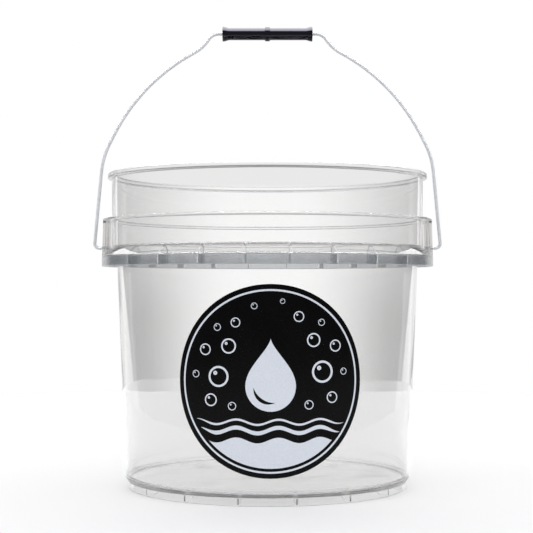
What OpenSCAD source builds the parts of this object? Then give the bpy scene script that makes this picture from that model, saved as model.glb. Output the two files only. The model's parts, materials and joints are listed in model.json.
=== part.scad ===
// Clear moulded wash bucket: ribbed stacking ledge, wire bail, tube grip and a round front decal.
// Millimetres. Z is up from the floor, the bucket stands on the Z axis, the decal faces -Y,
// and the bail swings about a line parallel to X through its two ears.

/* [Overall] */
// Height from the floor to the top of the rim
overall_height = 292.5; // [250:0.5:360]
// Outer radius of the rim bead
rim_radius = 150; // [120:0.5:185]
// Thickness of the moulded wall
wall = 2.2; // [1.6:0.1:3]

/* [Rim and collar] */
// Height of the rim bead
rim_height = 4.8; // [3:0.1:8]
// How far the rim bead stands out from the collar
rim_overhang = 3.9; // [2:0.1:6]
// Corner radius of the rim bead
rim_round = 1.6; // [0.5:0.1:2.2]
// How much the collar narrows over its height
collar_taper = 0.6; // [0:0.1:2]

/* [Upper ring and ledge] */
// Distance from the rim top down to the top of the upper ring
ring_drop = 42.6; // [30:0.2:60]
// Thickness of the upper ring
ring_thickness = 1.9; // [1.2:0.1:3]
// How far the upper ring stands out beyond the rim
ring_reach = 4.6; // [2:0.1:8]
// Distance from the rim top down to the head of the sloping ledge
ledge_drop = 68.2; // [50:0.2:90]
// How far the ledge falls as it goes out to the skirt
ledge_fall = 8.6; // [4:0.1:14]
// How far the skirt stands out beyond the rim
skirt_reach = 5.5; // [3:0.1:9]
// Height of the skirt from its foot to the ledge
skirt_height = 9.6; // [5:0.1:16]
// Thickness of the skirt and the ledge
skirt_thickness = 2; // [1.4:0.1:3]
// Number of ribs between the skirt and the wall
ledge_ribs = 24; // [8:4:36]
// Thickness of each ledge rib
ledge_rib_thickness = 1.5; // [1:0.1:2.5]

/* [Body and foot] */
// How far the body's wall is set in from the rim, just under the ledge
body_inset = 8.5; // [6:0.1:14]
// How much the wall's radius shrinks from the ledge down to the foot
body_narrowing = 8.6; // [2:0.1:16]
// How far the foot ring is set in from the wall above it
foot_inset = 2.3; // [1:0.1:5]
// Height of the foot ring under the bucket's floor
foot_height = 7.4; // [4:0.1:14]
// Radius of the bend between the wall and the bucket's floor
corner_radius = 5; // [3:0.5:9]
// Number of ribs inside the foot ring
foot_ribs = 16; // [6:2:32]
// Length of each foot rib, inwards from the foot ring
foot_rib_length = 16; // [6:1:30]

/* [Ears] */
// Width of each ear along the rim
ear_width = 50; // [36:1:70]
// Thickness of the ear's outer plate
ear_thickness = 2.5; // [2:0.1:4]
// Thickness of the ear's two side webs
ear_web = 2; // [1.4:0.1:3]
// Height of the bail's pivot line above the foot of the ledge
pivot_rise = 7.8; // [6:0.1:16]
// Radius of the raised boss round the wire hole
boss_radius = 4.2; // [3:0.1:7]
// How far the boss stands out from the ear plate
boss_height = 0.9; // [0.4:0.1:2]
// Gap around the wire in its hole
wire_clearance = 0.25; // [0.1:0.05:0.5]

/* [Bail wire] */
// Diameter of the bail wire
wire_diameter = 3.1; // [2.4:0.1:4]
// How far the wire's legs stand out beyond the rim at the pivot
leg_offset = 13.3; // [11:0.1:20]
// Bend radius where each leg turns in to its ear
elbow_radius = 4.5; // [3.5:0.5:8]
// Inward lean of the straight legs
leg_lean = 5.4; // [0:0.1:12]
// Length of each straight leg
leg_length = 67.5; // [30:0.5:110]
// Radius of the knee above each leg
knee_radius = 75; // [40:1:120]
// Angle turned in the knee
knee_turn = 22; // [10:0.5:32]
// Length of the straight run between the knee and the arch
shoulder_length = 10.5; // [2:0.5:30]
// Angle turned in the arch
arch_turn = 34.3; // [24:0.1:46]
// Radius of the upward crimp beside the grip
crimp_radius = 39; // [15:1:60]
// Angle turned in the crimp
crimp_turn = 28.3; // [15:0.1:40]
// Radius of the last bend into the hand span
span_radius = 11.5; // [8:0.5:16]
// Radius of the upset head at each end of the wire
head_radius = 2.5; // [2:0.1:3]
// Thickness of the upset head
head_thickness = 1.4; // [1:0.1:2.5]

/* [Grip] */
// Overall length of the grip
grip_length = 84.9; // [60:0.1:88]
// Diameter of the grip's barrel
grip_diameter = 11.4; // [9:0.1:18]
// How far the flared ends stand out from the barrel
grip_end_rise = 1.4; // [0.5:0.1:4]
// Length of each flare
grip_flare = 6.5; // [3:0.5:12]
// How far the band round the grip's middle stands out from the barrel
grip_band_rise = 1.15; // [0.4:0.05:3]
// Width of the band
grip_band_width = 4.2; // [2:0.1:8]
// Running gap between the wire and the grip's bore
grip_clearance = 0.1; // [0.05:0.01:0.4]
// Free length of wire between each end of the grip and the bend beside it
grip_slack = 3.4; // [1:0.1:10]

/* [Decal] */
// Diameter of the decal as printed flat
decal_diameter = 165; // [80:1:175]
// Turn of the decal round the bucket, from the front towards +X
decal_turn = 1.1; // [-180:0.1:180]
// Thickness of the decal
decal_thickness = 0.3; // [0.2:0.05:0.6]

/* [Hidden] */
$fn = 120;
small_fn = 48;
overlap = 0.4;
joint_swell = 0.02;

top = overall_height;
rim_under = top - rim_height;
collar_radius = rim_radius - rim_overhang;
collar_foot_radius = collar_radius - collar_taper;

ring_top = top - ring_drop;
ring_radius = rim_radius + ring_reach;

ledge_top = top - ledge_drop;
ledge_foot = ledge_top - ledge_fall;
skirt_radius = rim_radius + skirt_reach;
skirt_foot = ledge_foot - skirt_height;
shoulder_foot = ledge_top - 6;

floor_top = foot_height + wall;
body_top_radius = rim_radius - body_inset;
body_foot_radius = body_top_radius - body_narrowing;
foot_radius = body_foot_radius - foot_inset;
body_taper = (body_top_radius - body_foot_radius) / (shoulder_foot - foot_height);
function body_radius(z) = body_foot_radius + body_taper * (z - foot_height);

pivot_height = ledge_foot + pivot_rise;
wire_radius = wire_diameter / 2;
leg_x = rim_radius + leg_offset;
ear_top_x = sqrt(ring_radius * ring_radius - ear_width * ear_width / 4);
ear_foot_x = sqrt(skirt_radius * skirt_radius - ear_width * ear_width / 4);
ear_draft = (ear_foot_x - ear_top_x) / (ring_top - ledge_foot);
function ear_x(z) = ear_foot_x - ear_draft * (z - ledge_foot);
ear_hole_radius = wire_radius + wire_clearance;
pocket_width = ear_width - 2 * ear_web;
head_x = ear_x(pivot_height) - ear_thickness - head_thickness - 0.8;

// Where a run [radius, turn] or [length] ends, from a state [x, z, heading].
function run_end(s, r) =
  len(r) == 1
    ? [s[0] + r[0] * cos(s[2]), s[1] + r[0] * sin(s[2]), s[2]]
    : let (k = sign(r[1]) * r[0])
      [s[0] + k * (sin(s[2] + r[1]) - sin(s[2])),
       s[1] - k * (cos(s[2] + r[1]) - cos(s[2])),
       s[2] + r[1]];
function state_at(runs, i) = i == 0 ? [elbow_start, 0, 0] : run_end(state_at(runs, i - 1), runs[i - 1]);

// The wire from its right ear up to the arch: [straight length] or [radius, turn].
// A positive turn bends to the left of the way the wire is going.
elbow_start = leg_x - elbow_radius;
side_runs = [
  [elbow_radius, 90 + leg_lean],
  [leg_length],
  [knee_radius, knee_turn],
  [shoulder_length]
];
arch_start = state_at(side_runs, len(side_runs));

// The arch is as wide as it must be for the span between its crimps to take the grip.
span_half = grip_length / 2 + grip_slack;
crimp_heading = arch_start[2] + arch_turn;
span_heading = crimp_heading - crimp_turn;
arch_end_x = span_half
  + crimp_radius * (sin(span_heading) - sin(crimp_heading))
  + span_radius * sin(span_heading);
arch_radius = (arch_start[0] - arch_end_x) / (sin(arch_start[2]) - sin(crimp_heading));
wire_runs = concat(side_runs, [
  [arch_radius, arch_turn],
  [crimp_radius, -crimp_turn],
  [span_radius, 180 - span_heading]
]);
span_start = state_at(wire_runs, len(wire_runs));
grip_height = pivot_height + span_start[1];
grip_bore_radius = wire_radius + grip_clearance;

// The decal sits midway between the foot ring and the skirt, clear of both.
decal_height = (foot_height + skirt_foot) / 2;
decal_reach = min(decal_diameter / 2, (skirt_foot - foot_height) / 2 - corner_radius - 8);
decal_steps = 72;

// Which part to show

// Half section of the wall, floor, shoulder, collar and rim, as one closed outline.
module shell_section() {
  polygon([
    [0, foot_height],
    [body_foot_radius - corner_radius, foot_height],
    [body_foot_radius - corner_radius * 0.29, foot_height + corner_radius * 0.29],
    [body_radius(foot_height + corner_radius), foot_height + corner_radius],
    [body_top_radius, shoulder_foot],
    [collar_foot_radius, ledge_top],
    [collar_radius, rim_under + overlap],
    [collar_radius, top - rim_round],
    [collar_radius - wall + 0.6, top],
    [collar_radius - wall, top - 0.6],
    [collar_foot_radius - wall, ledge_top],
    [body_top_radius - wall, shoulder_foot],
    [body_radius(floor_top + corner_radius) - wall, floor_top + corner_radius],
    [body_foot_radius - wall - corner_radius * 0.29, floor_top + corner_radius * 0.29],
    [body_foot_radius - wall - corner_radius, floor_top],
    [0, floor_top]
  ]);
  rim_section();
}

// The rim bead: a bar with rounded outer corners.
module rim_section() {
  bead_x = rim_radius - rim_round;
  translate([bead_x, top - rim_round]) circle(r = rim_round, $fn = small_fn);
  translate([bead_x, rim_under + rim_round]) circle(r = rim_round, $fn = small_fn);
  translate([collar_radius - wall + 0.6, rim_under])
    square([bead_x - collar_radius + wall - 0.6, rim_height]);
  translate([bead_x - overlap, rim_under + rim_round])
    square([rim_round + overlap, rim_height - 2 * rim_round]);
}

// The upper ring, the sloping ledge with its skirt, and the foot ring.
module ring_section() {
  translate([collar_radius - wall / 2 - collar_taper, ring_top - ring_thickness])
    square([ring_radius - collar_radius + wall / 2 + collar_taper, ring_thickness]);
  polygon([
    [collar_foot_radius - wall / 2, ledge_top],
    [collar_foot_radius, ledge_top],
    [skirt_radius - 0.8, ledge_foot + 0.6],
    [skirt_radius, ledge_foot - 0.4],
    [skirt_radius, skirt_foot],
    [skirt_radius - skirt_thickness, skirt_foot],
    [skirt_radius - skirt_thickness, ledge_foot - skirt_thickness * 0.6],
    [collar_foot_radius - wall / 2, ledge_top - skirt_thickness * 1.4]
  ]);
  polygon([
    [foot_radius - wall, 0],
    [foot_radius, 0],
    [foot_radius + 0.3, foot_height + overlap],
    [foot_radius - wall - 0.3, foot_height + overlap]
  ]);
}

// The space the ledge ribs fill, between the skirt and the wall.
module ledge_rib_section() {
  polygon([
    [skirt_radius - skirt_thickness / 2, skirt_foot + 0.8],
    [skirt_radius - skirt_thickness / 2, ledge_foot - 0.2],
    [collar_foot_radius - wall / 2, ledge_top - 1],
    [body_top_radius - wall / 2, shoulder_foot],
    [body_radius(skirt_foot) - wall / 2, skirt_foot + 0.8]
  ]);
}

// The space the foot ribs fill: a wedge from the foot ring to the floor.
module foot_rib_section() {
  polygon([
    [foot_radius - wall / 2, 1],
    [foot_radius - wall / 2, foot_height + overlap],
    [foot_radius - wall - foot_rib_length, foot_height + overlap],
    [foot_radius - wall - foot_rib_length, foot_height - 0.8],
    [foot_radius - wall - foot_rib_length / 2, 1.4]
  ]);
}

// Flat spokes spread evenly, half a step off the front.
module spokes(count, thickness, reach, low, high) {
  for (i = [0 : count - 1])
    rotate([0, 0, -90 + (i + 0.5) * 360 / count])
      translate([reach - 40, -thickness / 2, low])
        cube([50, thickness, high - low]);
}

module ledge_rib_set() {
  intersection() {
    rotate_extrude() ledge_rib_section();
    spokes(ledge_ribs, ledge_rib_thickness, skirt_radius, skirt_foot - 1, ledge_top + 1);
  }
}

module foot_rib_set() {
  intersection() {
    rotate_extrude() foot_rib_section();
    spokes(foot_ribs, wall * 0.7, foot_radius, 0, foot_height + 1);
  }
}

// The outside of one ear, facing +X: a drafted block from the ledge to the ring.
module ear_block() {
  rotate([90, 0, 0]) linear_extrude(height = ear_width, center = true)
    polygon([
      [collar_foot_radius - wall / 2 - 5, ledge_top - 1.4],
      [ear_x(ledge_foot), ledge_foot - 0.4],
      [ear_x(ring_top), ring_top],
      [collar_foot_radius - wall / 2 - 5, ring_top]
    ]);
}

// The hollow behind the ear plate, open downwards through the ledge.
module ear_pocket() {
  rotate([90, 0, 0]) linear_extrude(height = pocket_width, center = true)
    polygon([
      [collar_foot_radius - 20, ledge_foot - 3],
      [ear_x(ledge_foot - 3) - ear_thickness, ledge_foot - 3],
      [ear_x(ring_top) - ear_thickness, ring_top - ring_thickness],
      [collar_foot_radius - 20, ring_top - ring_thickness]
    ]);
}

// Everything outside the collar and the shoulder, so the pocket leaves the wall alone.
module outside_wall() {
  difference() {
    translate([-ear_foot_x - 20, -ear_width, skirt_foot])
      cube([2 * ear_foot_x + 40, 2 * ear_width, ring_top - skirt_foot + 5]);
    rotate_extrude() polygon([
      [0, skirt_foot - 1],
      [body_radius(skirt_foot), skirt_foot - 1],
      [body_top_radius, shoulder_foot],
      [collar_foot_radius, ledge_top],
      [collar_radius, rim_under],
      [0, rim_under]
    ]);
  }
}

module ear() {
  ear_block();
  translate([ear_x(pivot_height) - 1, 0, pivot_height]) rotate([0, 90, 0])
    cylinder(r = boss_radius, h = 1 + boss_height, $fn = small_fn);
}

module both_sides() {
  children();
  rotate([0, 0, 180]) children();
}

module bucket_shell() color([0.86, 0.89, 0.93, 0.35]) difference() {
  union() {
    rotate_extrude() shell_section();
    rotate_extrude() ring_section();
    ledge_rib_set();
    foot_rib_set();
    difference() {
      both_sides() ear();
      translate([0, 0, ledge_foot - 5]) cylinder(r = collar_foot_radius - wall / 2, h = ring_drop);
    }
  }
  intersection() {
    both_sides() ear_pocket();
    outside_wall();
  }
  both_sides() translate([collar_radius, 0, pivot_height]) rotate([0, 90, 0])
    cylinder(r = ear_hole_radius, h = 30, $fn = small_fn);
}

// One run of wire, starting at the origin and heading along +X in the XZ plane.
module wire_run(r) {
  if (len(r) == 1)
    rotate([0, 90, 0]) cylinder(r = wire_radius, h = r[0], $fn = small_fn);
  else
    translate([0, 0, sign(r[1]) * r[0]]) rotate([90, 0, 0])
      rotate([0, 0, r[1] > 0 ? -90 : 90 + r[1]])
        rotate_extrude(angle = abs(r[1])) translate([r[0], 0]) circle(r = wire_radius, $fn = small_fn);
}

// A bead a hair wider than the wire closes the joint where two runs meet.
module joint_bead() {
  sphere(r = wire_radius + joint_swell, $fn = small_fn);
}

module half_wire() {
  translate([head_x, 0, 0]) wire_run([elbow_start - head_x]);
  translate([head_x, 0, 0]) rotate([0, 90, 0])
    cylinder(r = head_radius, h = head_thickness, $fn = small_fn);
  for (i = [0 : len(wire_runs) - 1])
    let (s = state_at(wire_runs, i))
      translate([s[0], 0, s[1]]) {
        rotate([0, -s[2], 0]) wire_run(wire_runs[i]);
        joint_bead();
      }
  translate([span_start[0], 0, span_start[1]]) joint_bead();
}

module bail_wire() color([0.62, 0.63, 0.65]) translate([0, 0, pivot_height]) {
  half_wire();
  mirror([1, 0, 0]) half_wire();
  translate([-span_start[0], 0, span_start[1]]) wire_run([2 * span_start[0]]);
}

// Half section of the grip, from its middle to one end.
module grip_section() {
  barrel = grip_diameter / 2;
  band = barrel + grip_band_rise;
  flare = barrel + grip_end_rise;
  half = grip_length / 2;
  polygon([
    [grip_bore_radius, 0],
    [band, 0],
    [band, grip_band_width / 2 - 0.8],
    [band - 0.8, grip_band_width / 2],
    [barrel, grip_band_width / 2 + 0.5],
    [barrel, half - grip_flare],
    [barrel + (flare - barrel) * 0.3, half - grip_flare * 0.5],
    [flare - 0.2, half - 1],
    [flare, half - 0.5],
    [flare - 0.5, half],
    [grip_bore_radius + 0.6, half],
    [grip_bore_radius, half - 0.6]
  ]);
}

module grip() color([0.05, 0.05, 0.06]) translate([0, 0, grip_height]) rotate([0, 90, 0]) {
  rotate_extrude() grip_section();
  mirror([0, 0, 1]) rotate_extrude() grip_section();
}

// The decal is a disc when laid flat, so its outline seen from the front is a little narrow.
module decal() color([0.04, 0.05, 0.08]) rotate([0, 0, decal_turn]) {
  low = decal_height - decal_reach - 5;
  high = decal_height + decal_reach + 5;
  r = body_radius(decal_height);
  intersection() {
    difference() {
      translate([0, 0, low]) cylinder(
        r1 = body_radius(low) + decal_thickness, r2 = body_radius(high) + decal_thickness, h = high - low);
      translate([0, 0, low]) cylinder(r1 = body_radius(low), r2 = body_radius(high), h = high - low);
    }
    translate([0, 0, decal_height]) rotate([90, 0, 0]) linear_extrude(height = rim_radius)
      polygon([for (i = [0 : decal_steps - 1])
        let (t = 360 * i / decal_steps)
          [r * sin(decal_reach * cos(t) / r * 180 / PI), decal_reach * sin(t)]]);
  }
}

bucket_shell();
bail_wire();
grip();
decal();
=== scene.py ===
"""Looks of a clear moulded wash bucket with a wire bail, a tube grip and a round front decal.

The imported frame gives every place: pieces are worked out in metres about the same axes, ride on the
frame's bodies, and replace the plain solids there.
"""
import json
import logging
import math
from dataclasses import dataclass, field
from enum import Enum
from typing import Any, Dict, List, Optional, Sequence, Tuple

import bpy
import numpy as np
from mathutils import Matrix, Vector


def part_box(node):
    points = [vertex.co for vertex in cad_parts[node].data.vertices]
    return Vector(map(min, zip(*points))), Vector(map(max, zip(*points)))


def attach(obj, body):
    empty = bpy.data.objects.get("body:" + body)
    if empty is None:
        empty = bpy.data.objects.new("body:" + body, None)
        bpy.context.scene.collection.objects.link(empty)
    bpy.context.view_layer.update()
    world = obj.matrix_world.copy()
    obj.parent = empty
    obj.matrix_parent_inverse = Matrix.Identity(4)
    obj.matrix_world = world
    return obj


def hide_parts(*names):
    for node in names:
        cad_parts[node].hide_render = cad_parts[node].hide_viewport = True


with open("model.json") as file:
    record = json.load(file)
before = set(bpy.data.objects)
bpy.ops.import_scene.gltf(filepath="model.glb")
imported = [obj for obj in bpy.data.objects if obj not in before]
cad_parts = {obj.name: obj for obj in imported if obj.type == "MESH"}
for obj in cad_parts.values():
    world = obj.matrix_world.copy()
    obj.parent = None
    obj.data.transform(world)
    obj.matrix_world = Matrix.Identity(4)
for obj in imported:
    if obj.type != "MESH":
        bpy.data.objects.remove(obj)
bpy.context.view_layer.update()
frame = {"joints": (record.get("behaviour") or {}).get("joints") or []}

MM = 0.001
Array = np.ndarray
Faces = List[Array]
log = logging.getLogger("wash_bucket")


class Cut(Enum):
    """How a second closed mesh changes the first."""

    ADD = "UNION"
    REMOVE = "DIFFERENCE"


def joint_place(name: str) -> Array:
    """A joint's place in the frame, in metres."""
    return np.array(next(joint["pos_m"] for joint in frame["joints"] if joint["name"] == name))


# --------------------------------------------------------------------------------------------------
# Shapes: outlines, grids and closed meshes as whole arrays
# --------------------------------------------------------------------------------------------------


def rounded_outline(corners: Array, steps: int = 5) -> Array:
    """Rounds every corner of an outline at once.

    Formula: a corner whose edges meet at angle A gets an arc of radius r that starts r / tan(A / 2)
    before it, with its centre r / sin(A / 2) along the bisector. The arc's points are the two end
    spokes mixed by sin((1 - s) T) / sin(T) and sin(s T) / sin(T), where T is the angle turned.

    Args:
        corners: (n, 3) rows of first coordinate, second coordinate and corner radius.
        steps: Points along each arc, less one.

    Returns:
        (m, 2) points of the rounded outline, with repeated points left out.
    """
    place, radius = corners[:, :2], corners[:, 2:3]
    back = np.roll(place, 1, axis=0) - place
    ahead = np.roll(place, -1, axis=0) - place
    back_length = np.linalg.norm(back, axis=1, keepdims=True)
    ahead_length = np.linalg.norm(ahead, axis=1, keepdims=True)
    back, ahead = back / back_length, ahead / ahead_length
    half = 0.5 * np.arccos(np.clip((back * ahead).sum(1, keepdims=True), -0.99999, 0.99999))
    reach = np.minimum(radius / np.tan(half), 0.49 * np.minimum(back_length, ahead_length))
    radius = reach * np.tan(half)
    bisector = back + ahead
    bisector = bisector / np.maximum(np.linalg.norm(bisector, axis=1, keepdims=True), 1e-12)
    centre = place + bisector * radius / np.sin(half)
    first, last = place + back * reach - centre, place + ahead * reach - centre
    turn = (math.pi - 2 * half)[:, None, :]
    share = np.linspace(0.0, 1.0, steps + 1)[None, :, None]
    arcs = (np.sin((1 - share) * turn) * first[:, None] + np.sin(share * turn) * last[:, None]) / np.sin(turn)
    points = (centre[:, None] + arcs).reshape(-1, 2)
    step = np.linalg.norm(np.diff(points, axis=0, prepend=points[:1] - 1.0), axis=1)
    return points[step > 1e-7]


def held_outline(outline: Array, hold: float, longest: float) -> Array:
    """Adds points along the straight runs of an outline, so that shading stays true to flat walls.

    Formula: a run longer than three holds gets a point one hold from each of its ends, and the run
    between those two is cut into equal steps no longer than the longest.

    Args:
        outline: (n, 2) points of an open outline.
        hold: Distance of the added points from the ends of a run.
        longest: Longest step left on a run.

    Returns:
        (m, 2) points.
    """
    run = np.diff(outline, axis=0)
    length = np.linalg.norm(run, axis=1)
    steps = np.where(length > 3 * hold, np.ceil((length - 2 * hold) / longest).astype(int) + 2, 1)
    owner = np.repeat(np.arange(len(run)), steps)
    count = np.arange(len(owner)) - np.repeat(np.cumsum(steps) - steps, steps)
    middle = hold + (count - 1) * (length[owner] - 2 * hold) / np.maximum(steps[owner] - 2, 1)
    along = np.where(count == 0, 0.0, middle) / length[owner]
    return np.concatenate([outline[owner] + along[:, None] * run[owner], outline[-1:]])


def grid_quads(rows: int, columns: int, wrap_rows: bool = False, wrap_columns: bool = False) -> Array:
    """Quads between the neighbours of a grid of vertices numbered row by row.

    Args:
        rows: Vertices along the first direction.
        columns: Vertices along the second direction.
        wrap_rows: True if the last row meets the first.
        wrap_columns: True if the last column meets the first.

    Returns:
        (k, 4) vertex numbers.
    """
    i = np.arange(rows if wrap_rows else rows - 1)[:, None]
    j = np.arange(columns if wrap_columns else columns - 1)[None, :]
    below, beside = (i + 1) % rows, (j + 1) % columns
    return np.stack(
        [i * columns + j, i * columns + beside, below * columns + beside, below * columns + j], axis=-1
    ).reshape(-1, 4)


def facing_out(points: Array, faces: Faces) -> Faces:
    """Turns a closed mesh's faces to point outwards.

    Formula: the volume is the sum over triangles of a . (b x c) / 6, and it is negative when the
    faces point in.

    Args:
        points: (n, 3) vertices.
        faces: Arrays of three- and four-sided faces.

    Returns:
        The faces, each turned over if the volume was negative.
    """
    fans = [np.concatenate([f[:, [0, k, k + 1]] for k in range(1, f.shape[1] - 1)]) for f in faces if len(f)]
    a, b, c = (points[np.concatenate(fans)[:, k]] for k in range(3))
    volume = np.einsum("ij,ij->", a, np.cross(b, c))
    return faces if volume > 0 else [f[:, ::-1] for f in faces]


def mesh_object(name: str, points: Array, faces: Faces, sharp_deg: float = 32.0) -> bpy.types.Object:
    """Puts whole arrays of vertices and faces into a new object at the origin.

    Args:
        name: The object's name.
        points: (n, 3) vertices in metres.
        faces: Arrays of three- and four-sided faces, by vertex number.
        sharp_deg: Edges that turn more than this stay crisp, and the rest are smooth.

    Returns:
        The object, linked to the scene.
    """
    mesh = bpy.data.meshes.new(name)
    faces = [f for f in faces if len(f)]
    loops = np.concatenate([f.reshape(-1) for f in faces]).astype(np.int32)
    sides = np.concatenate([np.full(len(f), f.shape[1]) for f in faces])
    starts = np.concatenate([[0], np.cumsum(sides)[:-1]]).astype(np.int32)
    mesh.vertices.add(len(points))
    mesh.vertices.foreach_set("co", np.ascontiguousarray(points, np.float32).reshape(-1))
    mesh.loops.add(len(loops))
    mesh.loops.foreach_set("vertex_index", loops)
    mesh.polygons.add(len(starts))
    mesh.polygons.foreach_set("loop_start", starts)
    mesh.update(calc_edges=True)
    mesh.validate()
    smooth(mesh, sharp_deg)
    made = bpy.data.objects.new(name, mesh)
    bpy.context.scene.collection.objects.link(made)
    return made


def smooth(mesh: bpy.types.Mesh, sharp_deg: float) -> None:
    """Shades a mesh smooth, except over edges that turn more than sharp_deg."""
    mesh.polygons.foreach_set("use_smooth", np.ones(len(mesh.polygons), bool))
    mesh.set_sharp_from_angle(angle=math.radians(sharp_deg))


def turned(profile: Array, segments: int) -> Tuple[Array, Faces]:
    """A profile turned about Z, closed by a pole at each end.

    Formula: the point at angle t is (r cos t, r sin t, z). The profile's two ends lie on the axis,
    where one vertex and a fan of triangles stand for the whole ring.

    Args:
        profile: (m, 2) rows of r and z, whose first and last r are 0.
        segments: Steps round the axis.

    Returns:
        Vertices and faces, facing out.
    """
    t = np.arange(segments) * (2 * math.pi / segments)
    r, z = profile[1:-1, 0][:, None], profile[1:-1, 1][:, None]
    rings = np.stack([r * np.cos(t), r * np.sin(t), np.broadcast_to(z, (len(r), segments))], axis=-1)
    rows = len(rings)
    points = np.concatenate([rings.reshape(-1, 3), [[0, 0, profile[0, 1]], [0, 0, profile[-1, 1]]]])
    here = np.arange(segments)
    beside = (here + 1) % segments
    low_fan = np.stack([beside, here, np.full(segments, rows * segments)], axis=-1)
    last = (rows - 1) * segments
    high_fan = np.stack([last + here, last + beside, np.full(segments, rows * segments + 1)], axis=-1)
    faces = [grid_quads(rows, segments, wrap_columns=True), np.concatenate([low_fan, high_fan])]
    return points, facing_out(points, faces)


def turned_ring(profile: Array, angles: Array, swell: Optional[Array] = None) -> Tuple[Array, Faces]:
    """A closed profile turned about Z into a ring that has no poles.

    Formula: the point at angle t is ((r + b) cos t, (r + b) sin t, z), where b is a swell given
    for each profile point and angle.

    Args:
        profile: (m, 2) rows of r and z, going once round the section.
        angles: (n,) angles in radians, without the repeated last one.
        swell: (m, n) amounts added to r, or None.

    Returns:
        Vertices and faces, facing out.
    """
    r = profile[:, 0][:, None] + (0.0 if swell is None else swell)
    z = np.broadcast_to(profile[:, 1][:, None], (len(profile), len(angles)))
    points = np.stack([r * np.cos(angles), r * np.sin(angles), z], axis=-1).reshape(-1, 3)
    return points, facing_out(points, [grid_quads(len(profile), len(angles), True, True)])


def layered_block(layers: Array) -> Tuple[Array, Faces]:
    """A closed block from a stack of outlines with the same number of points.

    Formula: the sides are the grid of layer by outline point, and a fan about the middle of the first
    and last layer closes each end.

    Args:
        layers: (layers, outline points, 3) vertices, each outline going the same way round.

    Returns:
        Vertices and faces, facing out.
    """
    count, around = layers.shape[:2]
    ends = np.stack([layers[0].mean(axis=0), layers[-1].mean(axis=0)])
    points = np.concatenate([layers.reshape(-1, 3), ends])
    here = np.arange(around)
    beside = (here + 1) % around
    last = (count - 1) * around
    fans = np.concatenate([
        np.stack([beside, here, np.full(around, count * around)], axis=-1),
        np.stack([last + here, last + beside, np.full(around, count * around + 1)], axis=-1),
    ])
    return points, facing_out(points, [grid_quads(count, around, wrap_columns=True), fans])


def spread_round(points: Array, faces: Faces, angles: Array) -> Tuple[Array, Faces]:
    """Copies of one closed mesh, turned about Z to each of several angles.

    Formula: copy k is x cos a - y sin a, x sin a + y cos a, z with a the k-th angle, and its faces
    count on from the vertices of the copies before it.

    Args:
        points: (n, 3) vertices of one copy.
        faces: Its faces.
        angles: (k,) angles in radians.

    Returns:
        Vertices and faces of all copies.
    """
    c, s = np.cos(angles)[:, None], np.sin(angles)[:, None]
    x, y, z = points.T
    copies = np.stack([c * x - s * y, s * x + c * y, np.broadcast_to(z, (len(angles), len(z)))], axis=-1)
    start = (np.arange(len(angles)) * len(points))[:, None, None]
    return copies.reshape(-1, 3), [(f[None] + start).reshape(-1, f.shape[1]) for f in faces]


def carved(base: bpy.types.Object, points: Array, faces: Faces, cut: Cut) -> None:
    """Adds a closed mesh to an object, or takes it away, and keeps the result as its mesh.

    Args:
        base: The object to change.
        points: Vertices of the other closed mesh.
        faces: Its faces.
        cut: Whether to add or to remove it.
    """
    tool = mesh_object(base.name + "_tool", points, faces)
    change = base.modifiers.new("change", "BOOLEAN")
    change.operation, change.object, change.solver = cut.value, tool, "MANIFOLD"
    graph = bpy.context.evaluated_depsgraph_get()
    result = bpy.data.meshes.new_from_object(base.evaluated_get(graph))
    base.modifiers.remove(change)
    old, base.data = base.data, result
    tool_mesh = tool.data
    bpy.data.objects.remove(tool)
    bpy.data.meshes.remove(tool_mesh)
    bpy.data.meshes.remove(old)
    result.materials.clear()
    result.name = base.name


def dressed(piece: bpy.types.Object, finish: "Finish", body: str, *nodes: str) -> bpy.types.Object:
    """Gives a piece its material, hangs it on a body and hides the solids that it stands for.

    Args:
        piece: The finished piece.
        finish: The finish it takes.
        body: The frame's body that it moves with.
        nodes: The frame's nodes that it replaces.

    Returns:
        The same piece.
    """
    if not piece.data.materials:
        piece.data.materials.append(finish.material())
    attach(piece, body)
    if nodes:
        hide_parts(*nodes)
    log.info("%s: %d faces on body %s", piece.name, len(piece.data.polygons), body)
    return piece


# --------------------------------------------------------------------------------------------------
# Finishes
# --------------------------------------------------------------------------------------------------


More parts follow.
